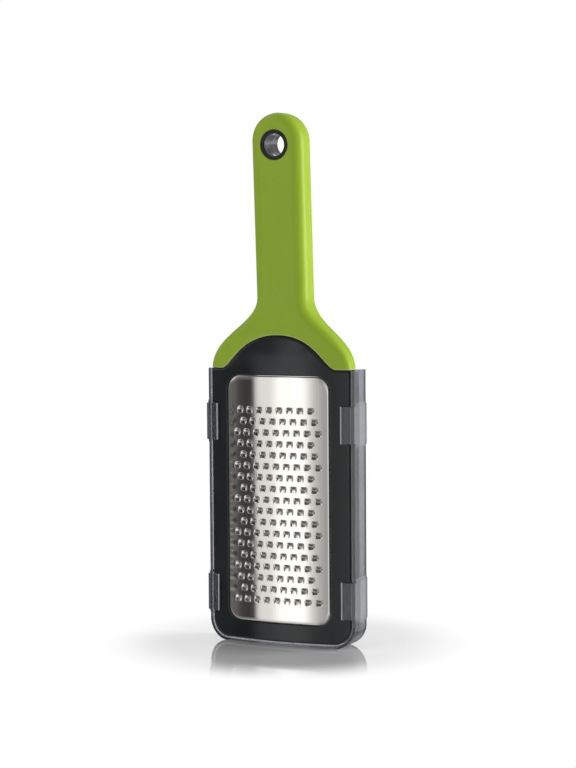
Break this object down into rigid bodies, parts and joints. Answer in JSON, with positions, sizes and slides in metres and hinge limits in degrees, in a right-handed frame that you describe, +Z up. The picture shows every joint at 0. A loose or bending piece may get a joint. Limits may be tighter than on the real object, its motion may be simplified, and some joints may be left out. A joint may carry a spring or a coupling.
{
  "type": "hand grater",
  "caption": "Coarse hand grater: a domed steel blade in a black frame, a lime soft handle with a lined hanging hole, and a clear smoky catch container that slides off.",
  "frame": {"origin": "middle of the container's flat base, half way between its back and the frame's side edges", "axes": "+X to the right seen from the front, -Y towards the blade's front, +Z up along the handle"},
  "size_m": [0.0926, 0.0247, 0.3],
  "materials": {
    "smoky_plastic": "clear smoky moulded plastic, polished",
    "black_plastic": "fine satin moulded plastic",
    "brushed_blade": "pressed stainless sheet with a fine brushed grain",
    "soft_grip": "soft-touch moulded rubber with a matt skin",
    "polished_sleeve": "polished drawn tube"
  },
  "bodies": {
    "container": {"container": "smoky_plastic"},
    "grater": {"frame_front": "black_plastic", "frame_back": "black_plastic", "blade": "brushed_blade", "grip": "soft_grip", "hole_sleeve": "polished_sleeve", "hole_ring_front": "black_plastic", "hole_ring_back": "black_plastic"}
  },
  "joints": [
    {"name": "grater_slide", "type": "slide", "parent": "container", "child": "grater", "axis": [0, 0, 1], "range_m": [0, 0.16]}
  ]
}
